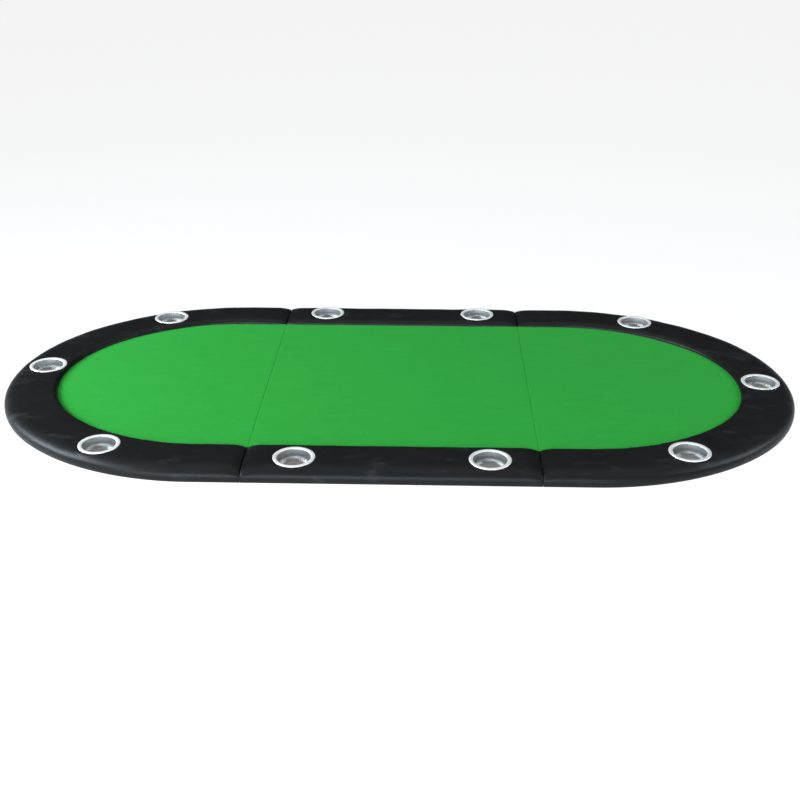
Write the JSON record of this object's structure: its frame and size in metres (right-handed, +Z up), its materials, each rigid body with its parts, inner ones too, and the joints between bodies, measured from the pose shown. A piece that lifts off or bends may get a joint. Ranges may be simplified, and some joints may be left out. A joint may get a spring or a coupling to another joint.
{
  "type": "folding poker table top",
  "caption": "Oval folding card-table top with a green playing cloth, a padded black rail in sections and steel cup holders; both wings fold under the middle.",
  "frame": {"origin": "on the surface that the feet stand on, under the middle of the open top", "axes": "+X along the length towards the wing on double hinges, +Y across, away from the front rail, +Z up"},
  "size_m": [2.0798, 1.06, 0.0434],
  "materials": {
    "board": "raw fibreboard",
    "plywood": "raw plywood",
    "foam": "open-cell foam",
    "playing_cloth": "short-napped felt",
    "leatherette": "grained, semi-gloss",
    "cup_steel": "brushed, polished rim",
    "hinge_steel": "zinc plated",
    "pin_steel": "bright drawn wire",
    "screw_steel": "zinc plated",
    "staple_steel": "galvanised wire",
    "foot_rubber": "matte"
  },
  "bodies": {
    "centre_section": {"centre_board": "board", "centre_pad_foam": "foam", "centre_felt": "playing_cloth", "rail_core_front": "plywood", "rail_core_back": "plywood", "rail_foam_front": "foam", "rail_foam_back": "foam", "rail_cover_front": "leatherette", "rail_cover_back": "leatherette", "cup_holder_04": "cup_steel", "cup_holder_05": "cup_steel", "cup_holder_06": "cup_steel", "cup_holder_07": "cup_steel", "butt_hinge_front_centre_leaf": "hinge_steel", "butt_hinge_back_centre_leaf": "hinge_steel", "butt_hinge_front_pin": "pin_steel", "butt_hinge_back_pin": "pin_steel", "double_hinge_front_centre_leaf": "hinge_steel", "double_hinge_back_centre_leaf": "hinge_steel", "double_hinge_front_inner_pin": "pin_steel", "double_hinge_back_inner_pin": "pin_steel", "hinge_screws_centre": "screw_steel", "rail_screws_centre": "screw_steel", "feet_centre": "foot_rubber", "staples_centre": "staple_steel"},
    "left_wing": {"left_board": "board", "left_pad_foam": "foam", "left_felt": "playing_cloth", "rail_core_left": "plywood", "rail_foam_left": "foam", "rail_cover_left": "leatherette", "cup_holder_01": "cup_steel", "cup_holder_02": "cup_steel", "cup_holder_03": "cup_steel", "butt_hinge_front_wing_leaf": "hinge_steel", "butt_hinge_back_wing_leaf": "hinge_steel", "hinge_screws_left": "screw_steel", "rail_screws_left": "screw_steel", "feet_left": "foot_rubber", "staples_left": "staple_steel"},
    "hinge_links": {"double_hinge_front_link": "hinge_steel", "double_hinge_back_link": "hinge_steel"},
    "right_wing": {"right_board": "board", "right_pad_foam": "foam", "right_felt": "playing_cloth", "rail_core_right": "plywood", "rail_foam_right": "foam", "rail_cover_right": "leatherette", "cup_holder_08": "cup_steel", "cup_holder_09": "cup_steel", "cup_holder_10": "cup_steel", "double_hinge_front_wing_leaf": "hinge_steel", "double_hinge_back_wing_leaf": "hinge_steel", "double_hinge_front_outer_pin": "pin_steel", "double_hinge_back_outer_pin": "pin_steel", "hinge_screws_right": "screw_steel", "rail_screws_right": "screw_steel", "feet_right": "foot_rubber", "staples_right": "staple_steel"}
  },
  "joints": [
    {"name": "left_fold", "type": "hinge", "parent": "centre_section", "child": "left_wing", "pos_m": [-0.34667, 0, 0.0033], "axis": [0, -1, 0], "range_deg": [0, 180]},
    {"name": "right_link_fold", "type": "hinge", "parent": "centre_section", "child": "hinge_links", "pos_m": [0.32417, 0, 0.0033], "axis": [0, 1, 0], "range_deg": [0, 90]},
    {"name": "right_fold", "type": "hinge", "parent": "hinge_links", "child": "right_wing", "pos_m": [0.36917, 0, 0.0033], "axis": [0, 1, 0], "range_deg": [0, 90]}
  ],
  "couplings": [
    {"joint": "right_link_fold", "follows": "right_fold", "ratio": 1}
  ]
}
